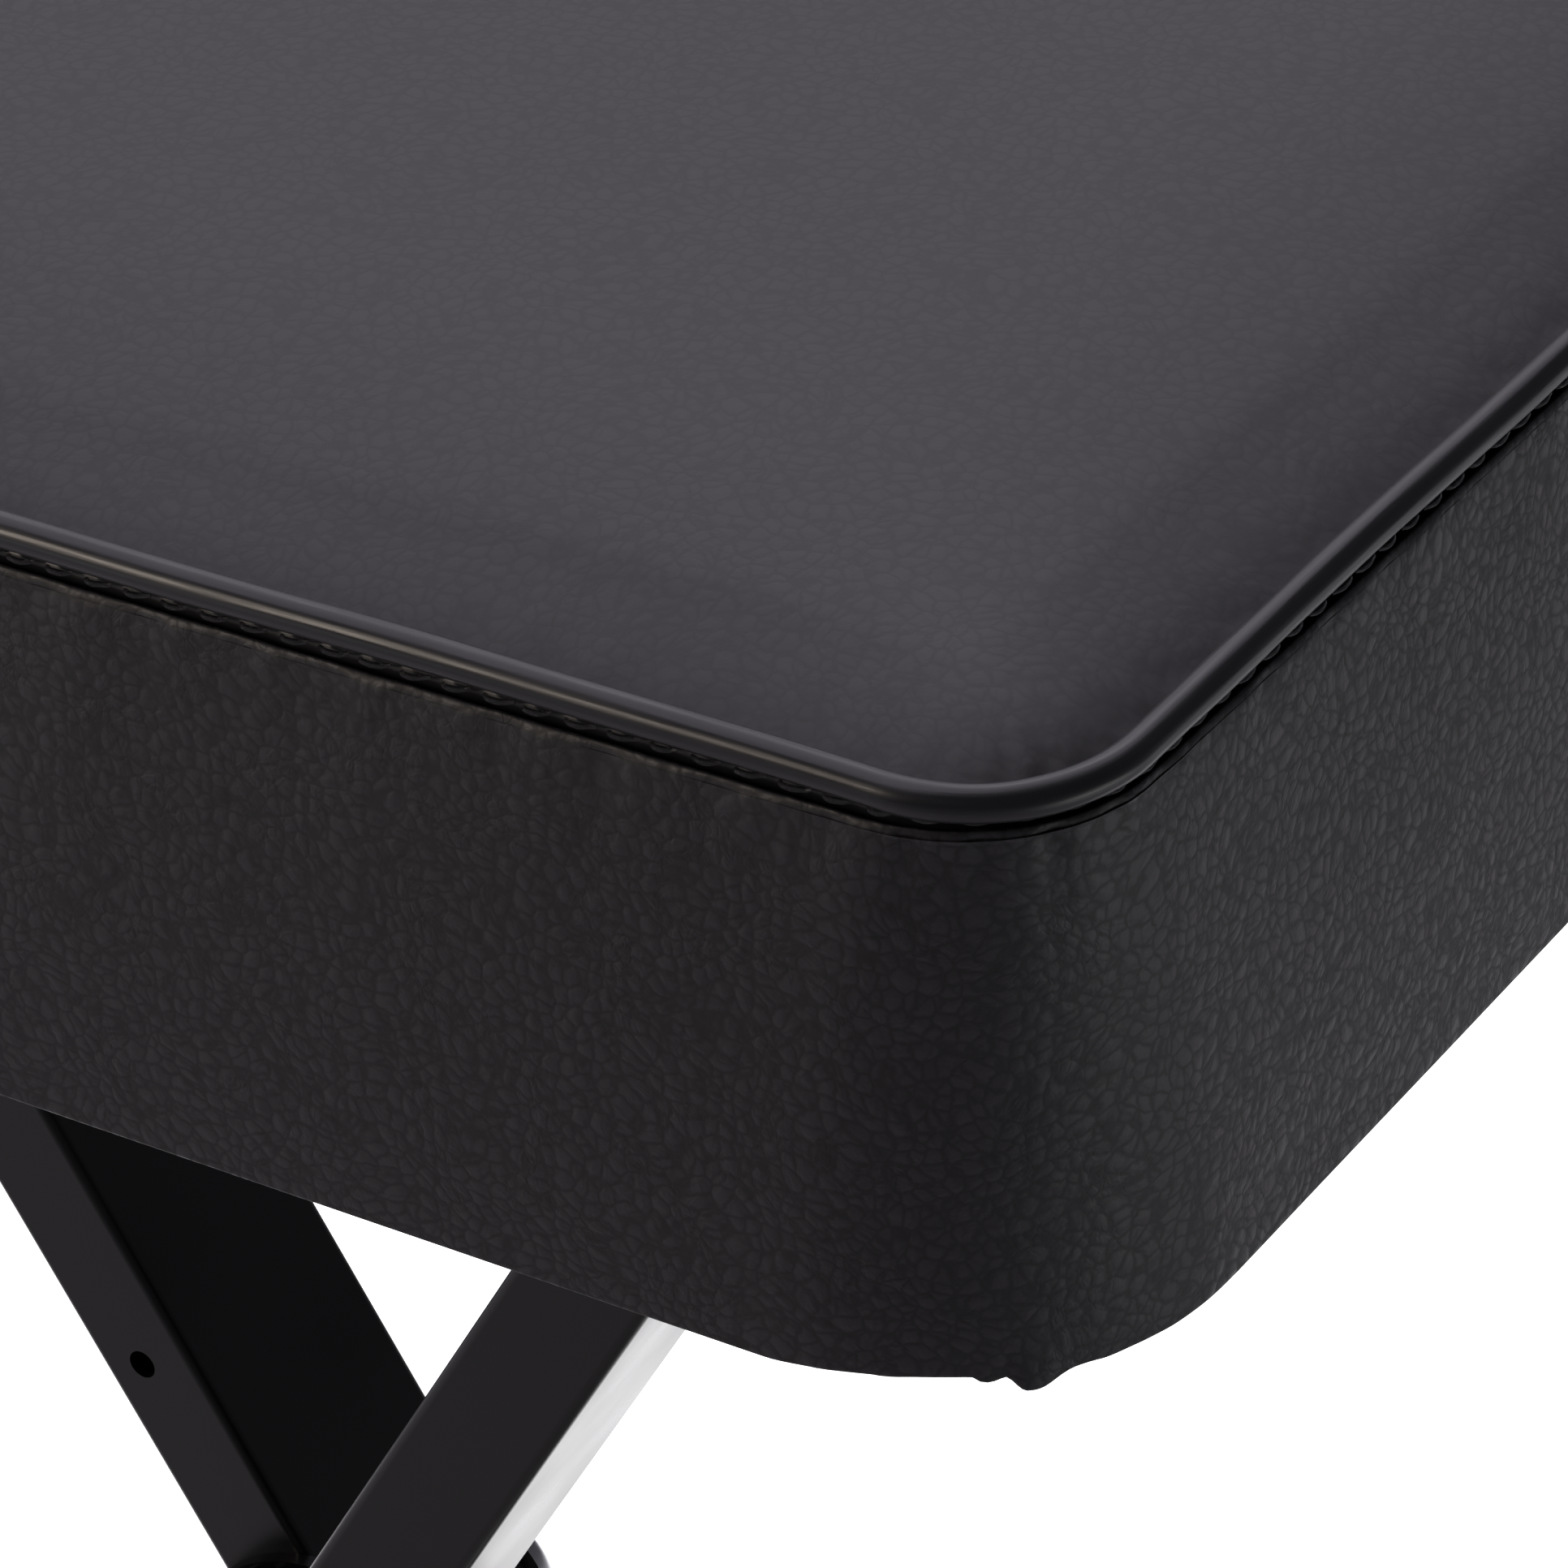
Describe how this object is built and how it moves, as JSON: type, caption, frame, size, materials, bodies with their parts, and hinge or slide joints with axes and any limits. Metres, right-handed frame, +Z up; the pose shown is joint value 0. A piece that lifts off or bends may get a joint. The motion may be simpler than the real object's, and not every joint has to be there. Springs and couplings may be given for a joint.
{
  "type": "folding keyboard bench",
  "caption": "Padded rectangular bench seat with piped edge on a single folding cross of rectangular steel tubes, clamped by a hand knob, with rubber-booted foot bars.",
  "frame": {"origin": "middle of the footprint, on the floor", "axes": "+Z up, X along the seat, -Y towards the front, where the knob is"},
  "size_m": [0.463, 0.348, 0.5607],
  "materials": {
    "leatherette": "black pebble-grain leatherette, satin",
    "welt_vinyl": "glossy black vinyl welt cord",
    "foam": "polyurethane foam",
    "plywood": "poplar plywood",
    "non_woven": "black non-woven sheet",
    "powder_coat": "satin black powder coat",
    "zinc_steel": "bright zinc plate",
    "rubber": "moulded black rubber",
    "nylon": "black nylon",
    "knob_plastic": "moulded black plastic, fine texture",
    "brass": "turned brass"
  },
  "bodies": {
    "seat": {"seat_board": "plywood", "board_t_nuts": "zinc_steel", "seat_foam": "foam", "seat_top_panel": "leatherette", "seat_boxing": "leatherette", "seat_piping": "welt_vinyl", "cover_hem": "leatherette", "dust_cover": "non_woven", "cover_staples": "zinc_steel", "front_rail": "powder_coat", "rear_rail": "powder_coat", "rail_screws": "zinc_steel", "hinge_rod": "zinc_steel", "hinge_washers": "zinc_steel", "hinge_nuts": "zinc_steel"},
    "front_leg": {"front_leg_tube": "powder_coat", "front_top_tube": "powder_coat", "front_top_bushes": "nylon", "front_foot_bar": "powder_coat", "front_foot_caps": "rubber", "front_clutch_disc": "zinc_steel", "front_pivot_sleeve": "zinc_steel"},
    "rear_leg": {"rear_leg_tube": "powder_coat", "rear_top_tube": "powder_coat", "rear_top_plugs": "nylon", "slide_rod": "zinc_steel", "slide_bushes": "nylon", "slide_washers": "zinc_steel", "slide_nuts": "zinc_steel", "rear_foot_bar": "powder_coat", "rear_foot_caps": "rubber", "rear_clutch_disc": "zinc_steel", "rear_pivot_sleeve": "zinc_steel", "pivot_bolt": "zinc_steel"},
    "clamp_plate": {"clamp_washer": "zinc_steel"},
    "knob": {"clamp_knob": "knob_plastic", "knob_insert": "brass"}
  },
  "joints": [
    {"name": "seat_fold", "type": "hinge", "parent": "seat", "child": "front_leg", "pos_m": [0.12433, 0, 0.44068], "axis": [0, 1, 0], "range_deg": [0, 51.5]},
    {"name": "centre_fold", "type": "hinge", "parent": "front_leg", "child": "rear_leg", "pos_m": [0, 0, 0.23539], "axis": [0, -1, 0], "range_deg": [0, 103]},
    {"name": "clamp_back_off", "type": "slide", "parent": "rear_leg", "child": "clamp_plate", "axis": [0, -1, 0], "range_m": [0, 0.00225]},
    {"name": "knob_turn", "type": "hinge", "parent": "clamp_plate", "child": "knob", "pos_m": [0, -0.05, 0.23539], "axis": [0, -1, 0], "range_deg": [0, 540]}
  ],
  "couplings": [
    {"joint": "seat_fold", "follows": "centre_fold", "ratio": 0.5},
    {"joint": "clamp_back_off", "follows": "knob_turn", "m_per_rad": 0.00023873}
  ]
}
